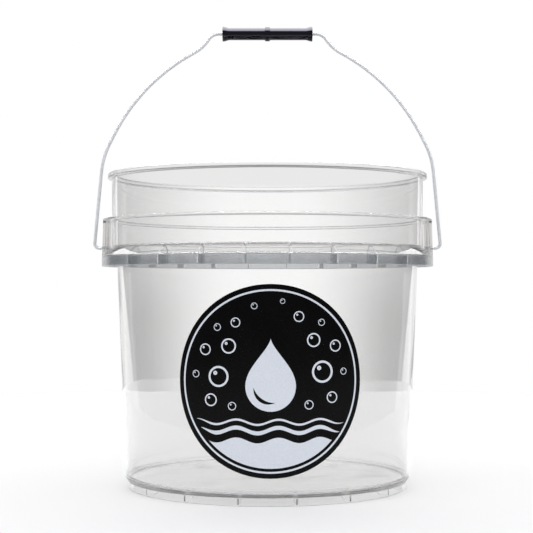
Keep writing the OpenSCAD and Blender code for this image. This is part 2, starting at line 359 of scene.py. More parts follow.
class Wiring:
    """Adds shader nodes to a tree and joins them up."""

    def __init__(self, tree: bpy.types.NodeTree) -> None:
        """Starts on an emptied node tree."""
        self.tree = tree
        tree.nodes.clear()

    def add(self, kind: str, inputs: Optional[Dict[Any, Any]] = None, **settings: Any) -> bpy.types.Node:
        """Adds a node.

        Args:
            kind: The node's type name.
            inputs: Values or output sockets for its inputs, by name or number.
            settings: Properties of the node itself.

        Returns:
            The node.
        """
        node = self.tree.nodes.new(kind)
        for key, value in settings.items():
            setattr(node, key, value)
        self.fill(node, inputs or {})
        return node

    def fill(self, node: bpy.types.Node, inputs: Dict[Any, Any]) -> None:
        """Sets a node's inputs to values, or joins them to output sockets.

        Args:
            node: The node.
            inputs: Values or output sockets, by the input's name or number.
        """
        for key, value in inputs.items():
            if isinstance(value, bpy.types.NodeSocket):
                self.tree.links.new(value, node.inputs[key])
            else:
                node.inputs[key].default_value = value

    def math(self, operation: str, *values: Any) -> bpy.types.NodeSocket:
        """The output of a Math node on one to three values or sockets."""
        return self.add("ShaderNodeMath", dict(enumerate(values)), operation=operation).outputs[0]

    def blend(self, share: Any, first: Any, second: Any) -> bpy.types.NodeSocket:
        """First plus a share of the difference between second and first."""
        return self.math("MULTIPLY_ADD", share, self.math("SUBTRACT", second, first), first)

    def ramp(self, value: Any, low: float, high: float, start: float, end: float) -> bpy.types.NodeSocket:
        """A smooth step of a value.

        Args:
            value: The socket that drives the step.
            low: Value at which the step starts.
            high: Value at which it ends.
            start: Its level up to low.
            end: Its level from high on.

        Returns:
            The level's socket.
        """
        inputs = dict(enumerate((value, low, high, start, end)))
        return self.add("ShaderNodeMapRange", inputs, interpolation_type="SMOOTHSTEP").outputs[0]

    def noise(self, place: Any, scale: float, detail: float = 2.0,
              stretch: Sequence[float] = (1.0, 1.0, 1.0)) -> bpy.types.NodeSocket:
        """The height of a noise pattern at a place.

        Args:
            place: The place's socket.
            scale: How fine the pattern is.
            detail: How many finer layers it has.
            stretch: Scale along each axis.

        Returns:
            The height's socket, from 0 to 1.
        """
        mapped = self.add("ShaderNodeMapping", {"Vector": place, "Scale": tuple(stretch)}).outputs[0]
        node = self.add("ShaderNodeTexNoise", {"Vector": mapped, "Scale": scale, "Detail": detail})
        return node.outputs[0]

    def mix(self, share: Any, first: Any, second: Sequence[float]) -> bpy.types.NodeSocket:
        """A mix of two colours.

        Args:
            share: Socket of how much of the second shows, from 0 to 1.
            first: The first colour, or its socket.
            second: The second colour.

        Returns:
            The mixed colour's socket.
        """
        start = first if isinstance(first, bpy.types.NodeSocket) else (*first, 1.0)
        inputs = {0: share, 6: start, 7: (*second, 1.0)}
        return self.add("ShaderNodeMix", inputs, data_type="RGBA").outputs[2]


@dataclass(frozen=True)
class Finish:
    """What every finish has: a name and the record's slot that it belongs to."""

    name: str = "finish"
    slot: str = ""

    def material(self) -> bpy.types.Material:
        """Makes the finish's material once, for all its pieces to share.

        Returns:
            The material.
        """
        made = bpy.data.materials.get(self.name)
        if made is None:
            made = bpy.data.materials.new(self.name)
            made.use_nodes = True
            wiring = Wiring(made.node_tree)
            shader = wiring.add("ShaderNodeBsdfPrincipled")
            wiring.add("ShaderNodeOutputMaterial", {"Surface": shader.outputs[0]})
            self.paint(wiring, shader)
        return made

    def paint(self, wiring: Wiring, shader: bpy.types.Node) -> None:
        """Sets the shader's own values and joins its patterns."""


@dataclass(frozen=True)
class ClearPlastic(Finish):
    """Clear moulded plastic: slightly wavy walls, faint flow lines and light scuffs.

    The skirt is misted and tinted grey as painted shade, the corner between floor and foot ring is matt,
    the ears' webs are tinted grey as painted shade, and the foot ring is tinted clearer than the rest as
    painted light against the shade under the bucket. Zones are in metres.
    """

    name: str = "clear_moulded_plastic"
    slot: str = "clear_plastic"
    tint: Tuple[float, float, float] = (0.93, 0.928, 0.926)
    index: float = 1.49
    smoothest: float = 0.012
    dullest: float = 0.07
    wave_height: float = 0.00035
    # painted shade: a grey base colour that darkens the skirt band, standing in for shade seen through the
    # extra walls
    painted_skirt_shade: Tuple[float, float, float] = (0.58, 0.60, 0.62)
    mist_roughness: float = 0.17
    skirt: Tuple[float, float, float] = (0.2059, 0.2153, 0.1432)
    foot_corner: Tuple[float, float, float] = (0.0066, 0.0105, 0.127)
    corner_roughness: float = 0.32
    # painted light: a clearer tint that lightens the foot ring against the shade under the bucket
    foot_painted_light_tint: Tuple[float, float, float] = (0.99, 0.99, 0.988)
    foot_reach: Tuple[float, float] = (0.0098, 0.0106)
    # painted shade: a grey tint that darkens the ears' side webs
    web_painted_shade_tint: Tuple[float, float, float] = (0.70, 0.695, 0.685)
    web_start: Tuple[float, float, float] = (0.1466, 0.0226, 0.2165)
    web_end: float = 0.2492

    def zone(self, wiring: Wiring, place: Any, reach: Tuple[float, float, float],
             fade: float) -> bpy.types.NodeSocket:
        """1 in a stretch of height outside a radius, fading at its edges.

        Args:
            wiring: The material's wiring.
            place: Object coordinates.
            reach: Lowest and highest height, and the inner radius.
            fade: Length over which the zone fades, in metres.

        Returns:
            The mask's socket.
        """
        x, y, z = wiring.add("ShaderNodeSeparateXYZ", {0: place}).outputs
        out = wiring.math("SQRT", wiring.math("MULTIPLY_ADD", x, x, wiring.math("MULTIPLY", y, y)))
        low, high, inner = reach
        mask = wiring.math("MULTIPLY", wiring.ramp(z, low - 0.5 * fade, low, 0.0, 1.0),
                           wiring.ramp(z, high, high + fade, 1.0, 0.0))
        return wiring.math("MULTIPLY", mask, wiring.ramp(out, inner, inner + fade, 0.0, 1.0))

    def ear_webs(self, wiring: Wiring, place: Any) -> bpy.types.NodeSocket:
        """1 on the ears' side webs, beyond a distance on each axis and up to the ring.

        Args:
            wiring: The material's wiring.
            place: Object coordinates.

        Returns:
            The mask's socket.
        """
        fade = 0.0004
        sides = wiring.add("ShaderNodeSeparateXYZ", {0: place}).outputs
        size = [wiring.math("ABSOLUTE", side) for side in sides]
        far = [wiring.ramp(value, low, low + fade, 0.0, 1.0) for value, low in zip(size, self.web_start)]
        flat = wiring.math("MULTIPLY", far[0], far[1])
        under_ring = wiring.ramp(size[2], self.web_end, self.web_end + fade, 1.0, 0.0)
        return wiring.math("MULTIPLY", flat, wiring.math("MULTIPLY", far[2], under_ring))

    def paint(self, wiring: Wiring, shader: bpy.types.Node) -> None:
        """Roughness rises in thin scuffs and on the skirt, and vertical flow lines roll the surface.

        Args:
            wiring: The material's wiring.
            shader: The shader to set.
        """
        place = wiring.add("ShaderNodeTexCoord").outputs["Object"]
        streak = wiring.noise(place, 300.0, 2.0, (1.0, 1.0, 0.03))
        # skirt mask: real frosting in the roughness, and painted shade in the grey base colour
        frosted_and_painted_shade = wiring.math("MULTIPLY", self.zone(wiring, place, self.skirt, 0.0004),
                             wiring.ramp(streak, 0.3, 0.7, 0.9, 1.0))
        scuff = wiring.noise(place, 90.0, 6.0, (1.0, 1.0, 0.25))
        handled = wiring.noise(place, 9.0, 2.0)
        worn = wiring.math("MULTIPLY", wiring.ramp(scuff, 0.56, 0.74, 0.0, 1.0),
                           wiring.ramp(handled, 0.4, 0.7, 0.2, 1.0))
        rough = wiring.ramp(worn, 0.0, 1.0, self.smoothest, self.dullest)
        rough = wiring.blend(frosted_and_painted_shade, rough, self.mist_roughness)
        corner = self.zone(wiring, place, self.foot_corner, 0.0015)
        rough = wiring.blend(corner, rough, self.corner_roughness)
        roll = wiring.noise(place, 14.0, 1.0)
        flow = wiring.noise(place, 60.0, 1.0, (1.0, 1.0, 0.05))
        height = wiring.math("MULTIPLY_ADD", flow, 0.05, roll)
        waves = {"Strength": 1.0, "Distance": self.wave_height, "Height": height}
        bump = wiring.add("ShaderNodeBump", waves)
        z = wiring.add("ShaderNodeSeparateXYZ", {0: place}).outputs[2]
        # painted light: the foot ring takes a clearer tint, lightening it against the shade under the bucket
        colour = wiring.mix(wiring.ramp(z, *self.foot_reach, 1.0, 0.0), self.tint, self.foot_painted_light_tint)
        # painted shade: the ears' side webs take a grey tint
        colour = wiring.mix(self.ear_webs(wiring, place), colour, self.web_painted_shade_tint)
        wiring.fill(shader, {
            # painted shade: the skirt takes a grey base colour
            "Base Color": wiring.mix(frosted_and_painted_shade, colour, self.painted_skirt_shade),
            "IOR": self.index,
            "Transmission Weight": 1.0,
            "Roughness": rough,
            "Normal": bump.outputs[0],
        })


@dataclass(frozen=True)
class ZincWire(Finish):
    """Drawn steel wire with a zinc plate: bright drawing lines and duller, slightly darker patches."""

    name: str = "zinc_plated_wire"
    slot: str = "wire"
    bright: Tuple[float, float, float] = (0.70, 0.715, 0.745)
    dull: Tuple[float, float, float] = (0.60, 0.615, 0.645)
    metal: float = 0.12

    def paint(self, wiring: Wiring, shader: bpy.types.Node) -> None:
        """Streaks follow the wire's own map, whose first number is its length and second its turn.

        Args:
            wiring: The material's wiring.
            shader: The shader to set.
        """
        place = wiring.add("ShaderNodeUVMap", uv_map="wire_map").outputs[0]
        lines = wiring.noise(place, 1.0, 4.0, (5.0, 26.0, 1.0))
        patches = wiring.noise(place, 1.0, 3.0, (30.0, 3.0, 1.0))
        shade = wiring.math("MULTIPLY_ADD", lines, 0.45, wiring.math("MULTIPLY", patches, 0.55))
        bump = wiring.add("ShaderNodeBump", {"Strength": 0.2, "Distance": 0.00002, "Height": lines})
        colour = wiring.mix(wiring.ramp(shade, 0.38, 0.62, 0.0, 1.0), self.dull, self.bright)
        wiring.fill(shader, {
            "Base Color": colour,
            "Metallic": self.metal,
            "Roughness": wiring.ramp(shade, 0.35, 0.65, 0.62, 0.52),
            "Normal": bump.outputs[0],
        })


@dataclass(frozen=True)
class BlackMoulding(Finish):
    """Glossy black moulded plastic, with a faint ripple and smears where hands hold it."""

    name: str = "black_gloss_moulding"
    slot: str = "black_plastic"
    colour: Tuple[float, float, float] = (0.002, 0.002, 0.0035)
    worn_colour: Tuple[float, float, float] = (0.003, 0.003, 0.005)
    gleam_tint: Tuple[float, float, float] = (0.84, 0.83, 1.0)
    shine: float = 0.36

    def paint(self, wiring: Wiring, shader: bpy.types.Node) -> None:
        """Fine ripples along the tube, and a roughness that rises in soft smears.

        Args:
            wiring: The material's wiring.
            shader: The shader to set.
        """
        place = wiring.add("ShaderNodeTexCoord").outputs["Object"]
        smear = wiring.noise(place, 120.0, 4.0, (0.35, 1.0, 1.0))
        ripple = wiring.noise(place, 420.0, 2.0, (0.2, 1.0, 1.0))
        bump = wiring.add("ShaderNodeBump", {"Strength": 0.03, "Distance": 0.00003, "Height": ripple})
        share = wiring.ramp(smear, 0.45, 0.75, 0.0, 1.0)
        wiring.fill(shader, {
            "Base Color": wiring.mix(share, self.colour, self.worn_colour),
            "Specular IOR Level": self.shine,
            "Specular Tint": (*self.gleam_tint, 1.0),
            "Roughness": wiring.ramp(smear, 0.45, 0.8, 0.045, 0.07),
            "Normal": bump.outputs[0],
        })


@dataclass(frozen=True)
class PrintInk(Finish):
    """Printed film: an even ink with a faint grain and a satin top coat."""

    name: str = "ink"
    slot: str = "decal_film"
    colour: Tuple[float, float, float] = (0.0012, 0.0012, 0.0014)
    grain_colour: Tuple[float, float, float] = (0.002, 0.002, 0.0024)
    gloss: float = 0.07

    def paint(self, wiring: Wiring, shader: bpy.types.Node) -> None:
        """A fine grain mixes two close inks, and a slow one varies the top coat.

        Args:
            wiring: The material's wiring.
            shader: The shader to set.
        """
        place = wiring.add("ShaderNodeTexCoord").outputs["Object"]
        grain = wiring.noise(place, 900.0, 3.0)
        coat = wiring.noise(place, 30.0, 3.0)
        bump = wiring.add("ShaderNodeBump", {"Strength": 0.12, "Distance": 0.00003, "Height": grain})
        colour = wiring.mix(wiring.ramp(grain, 0.3, 0.7, 0.0, 1.0), self.colour, self.grain_colour)
        wiring.fill(shader, {
            "Base Color": colour,
            "Specular IOR Level": self.gloss,
            "Roughness": wiring.ramp(coat, 0.3, 0.7, 0.16, 0.26),
            "Normal": bump.outputs[0],
        })


NIGHT_INK = PrintInk(name="night_ink")
FROST_INK = PrintInk(name="frost_ink", colour=(0.65, 0.69, 0.77), grain_colour=(0.71, 0.75, 0.82), gloss=0.3)
VINYL_BACK = PrintInk(name="vinyl_back", colour=(0.62, 0.62, 0.61), grain_colour=(0.7, 0.7, 0.69), gloss=0.3)


@dataclass(frozen=True)
class PaleFloor(Finish):
    """A plain, pale, matt floor."""

    name: str = "pale_floor"
    colour: Tuple[float, float, float] = (0.86, 0.86, 0.87)
    gloss: float = 0.1
    roughness: float = 0.8

    def paint(self, wiring: Wiring, shader: bpy.types.Node) -> None:
        """An even colour with a very slight mottle.

        Args:
            wiring: The material's wiring.
            shader: The shader to set.
        """
        place = wiring.add("ShaderNodeTexCoord").outputs["Object"]
        mottle = wiring.ramp(wiring.noise(place, 3.0, 2.0), 0.3, 0.7, 0.0, 1.0)
        lighter = tuple(min(1.0, c + 0.01) for c in self.colour)
        wiring.fill(shader, {
            "Base Color": wiring.mix(mottle, self.colour, lighter),
            "Specular IOR Level": self.gloss,
            "Roughness": self.roughness,
        })


# --------------------------------------------------------------------------------------------------
# The bucket
# --------------------------------------------------------------------------------------------------


@dataclass
class BucketShell:
    """The clear moulding: wall, floor, foot ring, ledge with its skirt and ribs, ring, rim and ears.

    All sizes are in millimetres, and become metres when the meshes are made.
    """

    segments: int = 240
    wall: float = 2.2
    rim_radius: float = 150.0
    rim_height: float = 4.8
    collar_radius: float = 146.1
    collar_foot_radius: float = 145.5
    ring_radius: float = 154.6
    ring_top: float = 249.9
    ring_thickness: float = 1.9
    ledge_top: float = 224.3
    ledge_foot: float = 215.7
    skirt_radius: float = 155.48
    skirt_foot: float = 206.1
    skirt_thickness: float = 2.0
    gutter_radius: float = 143.9
    gutter_top: float = 221.9
    shoulder_foot: float = 218.3
    body_top_radius: float = 141.5
    body_foot_radius: float = 132.9
    foot_height: float = 7.4
    foot_radius: float = 130.6
    ledge_ribs: int = 24
    foot_ribs: int = 16
    rib_thickness: float = 1.5
    rib_chamfer: float = 0.25
    rib_sink: float = 1.1
    foot_rib_length: float = 17.1
    ear_half_width: float = 25.0
    ear_web: float = 2.0
    ear_thickness: float = 2.5
    hole_radius: float = 1.8
    boss_radius: float = 4.2
    boss_height: float = 0.9
    top: float = field(init=False)
    pivot: float = field(init=False)

    def __post_init__(self) -> None:
        """Takes the height and the pivot line from the frame."""
        self.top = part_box("bucket_shell")[1].z / MM
        self.pivot = joint_place("bail_swing")[2] / MM

    def body_radius(self, z: Any) -> Any:
        """Outer radius of the tapered wall at height z: straight from the foot to the shoulder."""
        slope = (self.body_top_radius - self.body_foot_radius) / (self.shoulder_foot - self.foot_height)
        return self.body_foot_radius + slope * (z - self.foot_height)

    def collar_at(self, z: Any) -> Any:
        """Outer radius of the collar at height z: straight from the ledge to the rim."""
        share = (z - self.ledge_top) / (self.top - self.rim_height - self.ledge_top)
        return self.collar_foot_radius + share * (self.collar_radius - self.collar_foot_radius)

    def plate_x(self, z: Any) -> Any:
        """Outer face of an ear's plate, so that its corners meet the ring and the skirt.

        Formula: x is sqrt(R^2 - w^2) at the ring and at the skirt, with R their radius and w half the
        ear's width, and runs straight between the two.

        Args:
            z: Height or heights in millimetres.

        Returns:
            The face's x.
        """
        high = math.sqrt(self.ring_radius ** 2 - self.ear_half_width ** 2)
        low = math.sqrt(self.skirt_radius ** 2 - self.ear_half_width ** 2)
        return low + (high - low) * (z - self.ledge_foot) / (self.ring_top - self.ledge_foot)

    def ledge_at(self, r: Any) -> Any:
        """Height of the ledge's upper face at radius r: straight from the collar to the skirt."""
        share = (r - self.collar_foot_radius) / (self.skirt_radius - self.collar_foot_radius)
        return self.ledge_top + share * (self.ledge_foot - 0.4 - self.ledge_top)

    def section(self) -> Array:
        """The half section, from the axis under the floor, out and up, over the rim and back inside.

        Returns:
            (m, 2) rows of r and z in metres, every corner rounded.
        """
        wall = self.wall
        rim_under = self.top - self.rim_height
        ring_under = self.ring_top - self.ring_thickness
        skirt_in = self.skirt_radius - self.skirt_thickness
        foot_in = self.foot_radius - wall
        floor_top = self.foot_height + wall
        corners = np.array([
            [0.0, self.foot_height - 0.7, 0.0],
            [4.0, self.foot_height - 0.7, 0.4],
            [4.9, self.foot_height, 0.6],
            [foot_in - 0.3, self.foot_height, 1.2],
            [foot_in, 0.0, 0.7],
            [self.foot_radius, 0.0, 0.7],
            [self.foot_radius + 0.25, self.foot_height - 0.2, 0.9],
            [self.body_radius(floor_top) + 0.05, floor_top - 0.3, 2.4],
            [self.body_top_radius, self.shoulder_foot, 2.0],
            [self.gutter_radius, self.gutter_top, 0.7],
            [skirt_in, self.ledge_foot - 1.2, 0.8],
            [skirt_in, self.skirt_foot, 0.45],
            [self.skirt_radius, self.skirt_foot, 0.6],
            [self.skirt_radius, self.ledge_foot - 0.1, 1.3],
            [self.collar_foot_radius, self.ledge_top, 1.4],
            [self.collar_at(ring_under), ring_under, 0.8],
            [self.ring_radius, ring_under, 0.45],
            [self.ring_radius, self.ring_top, 0.6],
            [self.collar_at(self.ring_top), self.ring_top, 0.8],
            [self.collar_radius, rim_under, 1.0],
            [self.rim_radius, rim_under, 1.5],
            [self.rim_radius, self.top, 1.7],
            [self.collar_radius - wall, self.top, 0.9],
            [self.collar_foot_radius - wall, self.ledge_top, 2.0],
            [self.body_top_radius - wall, self.shoulder_foot, 2.0],
            [self.body_radius(floor_top) - wall, floor_top, 4.5],
            [0.0, floor_top, 0.0],
        ])
        return held_outline(rounded_outline(corners, steps=6), hold=0.25, longest=12.0) * MM

    def rib_block(self, outline: Array, foot: Array) -> Tuple[Array, Faces]:
        """One flat rib on the +X side, with its lower edge chamfered.

        Formula: the (x, z) outline stands at four steps through the thickness, and the points marked
        as foot rise by the chamfer on the two outer ones.

        Args:
            outline: (n, 2) rows of x and z in millimetres.
            foot: (n,) 1 where a point belongs to the free lower edge, else 0.

        Returns:
            Vertices in metres and faces.
        """
        chamfer = self.rib_chamfer
        y = np.array([-0.5, -0.5, 0.5, 0.5]) * self.rib_thickness + np.array([0.0, chamfer, -chamfer, 0.0])
        rise = np.array([chamfer, 0.0, 0.0, chamfer])
        x = np.broadcast_to(outline[:, 0], (4, len(outline)))
        z = outline[:, 1] + rise[:, None] * foot
        return layered_block(np.stack([x, np.broadcast_to(y[:, None], x.shape), z], axis=-1) * MM)

    def half_step_angles(self, count: int) -> Array:
        """Even angles round the bucket, half a step off the front."""
        return -math.pi / 2 + (np.arange(count) + 0.5) * (2 * math.pi / count)

    def ledge_rib_set(self) -> Tuple[Array, Faces]:
        """The ribs that stand between the wall and the skirt, under the ledge.

        Returns:
            Vertices in metres and faces.
        """
        low, sink = self.skirt_foot + 0.8, self.rib_sink
        outline = np.array([
            [self.skirt_radius - 1.0, low],
            [self.skirt_radius - 1.0, self.ledge_foot - 0.9],
            [self.collar_foot_radius - sink, self.ledge_top - 1.4],
            [self.body_top_radius - sink, self.shoulder_foot],
            [self.body_radius(low) - sink, low],
        ])
        block = self.rib_block(outline, np.array([1, 0, 0, 0, 1]))
        return spread_round(*block, self.half_step_angles(self.ledge_ribs))

    def foot_rib_set(self) -> Tuple[Array, Faces]:
        """The wedges that brace the foot ring from inside.

        Returns:
            Vertices in metres and faces.
        """
        r, z = self.foot_radius - self.rib_sink, self.foot_height + 0.9
        inner = r - self.foot_rib_length
        outline = np.array([
            [r, 1.0], [r, z], [inner, z], [inner, self.foot_height - 0.8], [inner + 8.0, 1.4],
        ])
        block = self.rib_block(outline, np.array([1, 0, 0, 1, 1]))
        return spread_round(*block, self.half_step_angles(self.foot_ribs))

    def ear_layers(self, half_width: float, corner: float, outline: Any) -> Array:
        """Outlines of an ear shape, one for each step across its width.

        Formula: y runs from one side to the other, closer together near the ends. Within a corner's
        radius c of an end, the outer face draws in by c - sqrt(c^2 - d^2), where d is how far y is
        past the corner's start.

        Args:
            half_width: Half the width in millimetres.
            corner: Plan radius of the two outer corners.
            outline: Function of (y, inset) arrays that gives the (x, z) corners at each y.

        Returns:
            (steps, outline points, 3) vertices in metres.
        """
        t = np.linspace(-1.0, 1.0, 41)
        y = half_width * np.sin(t * math.pi / 2)
        past = np.clip(np.abs(y) - (half_width - corner), 0.0, corner)
        inset = corner - np.sqrt(corner ** 2 - past ** 2)
        x, z = outline(y[:, None], inset[:, None])
        return np.stack([x, np.broadcast_to(y[:, None], x.shape), z], axis=-1) * MM

    def ear_solid(self) -> Tuple[Array, Faces]:
        """The outside of the two ears: a drafted block from inside the ledge up into the ring.

        Returns:
            Vertices in metres and faces.
        """
        heights = np.linspace(self.ring_top - 0.9, self.ledge_foot - 0.6, 9)

        def outline(y: Array, inset: Array) -> Tuple[Array, Array]:
            """Outer face downwards, under face inwards just inside the ledge, inner face in the wall.

            Args:
                y: (steps, 1) places across the ear.
                inset: (steps, 1) how far the outer face draws in there.

            Returns:
                (steps, points) x and z of the outline.
            """
            outer = self.plate_x(heights)[None] - inset
            floor_z = self.ledge_at(np.hypot(outer[:, -1:], y)) - 1.0
            outer_z = np.maximum(np.broadcast_to(heights, outer.shape), floor_z)
            inner = np.sqrt((self.collar_foot_radius - 1.0) ** 2 - y ** 2)
            inner_z = np.full_like(inner, self.ledge_top - 1.2)
            return (np.concatenate([outer, inner, inner], axis=1),
                    np.concatenate([outer_z, inner_z, np.full_like(inner, heights[0])], axis=1))

        points, faces = layered_block(self.ear_layers(self.ear_half_width, 1.2, outline))
        return spread_round(points, faces, np.array([0.0, math.pi]))

    def ear_hollow(self) -> Tuple[Array, Faces]:
        """The hollow behind each ear plate, open downwards through the ledge.

        Returns:
            Vertices in metres and faces.
        """
        heights = np.linspace(self.ring_top - self.ring_thickness, self.ledge_foot - 4.0, 9)

        def outline(y: Array, inset: Array) -> Tuple[Array, Array]:
            """Outer face just inside the plate, and an inner face that follows the collar.

            Args:
                y: (steps, 1) places across the ear.
                inset: (steps, 1) how far the outer face draws in there.

            Returns:
                (steps, points) x and z of the outline.
            """
            outer = self.plate_x(heights)[None] - self.ear_thickness - inset
            inner = np.sqrt((self.collar_foot_radius - 0.1) ** 2 - y ** 2)
            low, high = np.full_like(inner, heights[-1]), np.full_like(inner, heights[0])
            return (np.concatenate([outer, inner, inner], axis=1),
                    np.concatenate([np.broadcast_to(heights, outer.shape), low, high], axis=1))

        points, faces = layered_block(self.ear_layers(self.ear_half_width - self.ear_web, 1.5, outline))
        return spread_round(points, faces, np.array([0.0, math.pi]))

    def turned_along_x(self, profile: Array, segments: int = 48) -> Tuple[Array, Faces]:
        """A profile turned about the pivot line, on both sides.

        Args:
            profile: (m, 2) rows of radius and x in millimetres.
            segments: Steps round the line.

        Returns:
            Vertices in metres and faces.
        """
        points, faces = turned(profile * MM, segments)
        points = np.stack([points[:, 2], points[:, 0], points[:, 1] + self.pivot * MM], axis=-1)
        return spread_round(points, facing_out(points, faces), np.array([0.0, math.pi]))

    def boss_pair(self) -> Tuple[Array, Faces]:
        """The raised round boss on each ear plate.

        Returns:
            Vertices in metres and faces.
        """
        face = self.plate_x(self.pivot)
        return self.turned_along_x(rounded_outline(np.array([
            [0.0, face - 1.2, 0.0], [self.boss_radius + 0.3, face - 1.2, 0.0],
            [self.boss_radius, face + self.boss_height, 0.4], [0.0, face + self.boss_height, 0.0]]), 5))

    def hole_pair(self) -> Tuple[Array, Faces]:
        """The wire hole through each ear plate, eased at its mouth.

        Returns:
            Vertices in metres and faces.
        """
        face = self.plate_x(self.pivot)
        mouth, mouth_radius = face + self.boss_height, self.hole_radius + 0.35
        return self.turned_along_x(np.array([
            [0.0, face - 6.0], [self.hole_radius, face - 6.0], [self.hole_radius, mouth - 0.3],
            [mouth_radius, mouth + 0.05], [mouth_radius, face + 3.0], [0.0, face + 3.0]]))

    def build(self) -> bpy.types.Object:
        """Makes the moulding as one closed mesh.

        Returns:
            The finished piece.
        """
        points, faces = turned(self.section(), self.segments)
        shell = mesh_object("clear_shell", points, faces)
        for shape in (self.ledge_rib_set, self.foot_rib_set, self.ear_solid, self.boss_pair):
            carved(shell, *shape(), Cut.ADD)
        for shape in (self.ear_hollow, self.hole_pair):
            carved(shell, *shape(), Cut.REMOVE)
        smooth(shell.data, 30.0)
        return dressed(shell, ClearPlastic(), "bucket", "bucket_shell")


# --------------------------------------------------------------------------------------------------
# The bail and its grip
# --------------------------------------------------------------------------------------------------


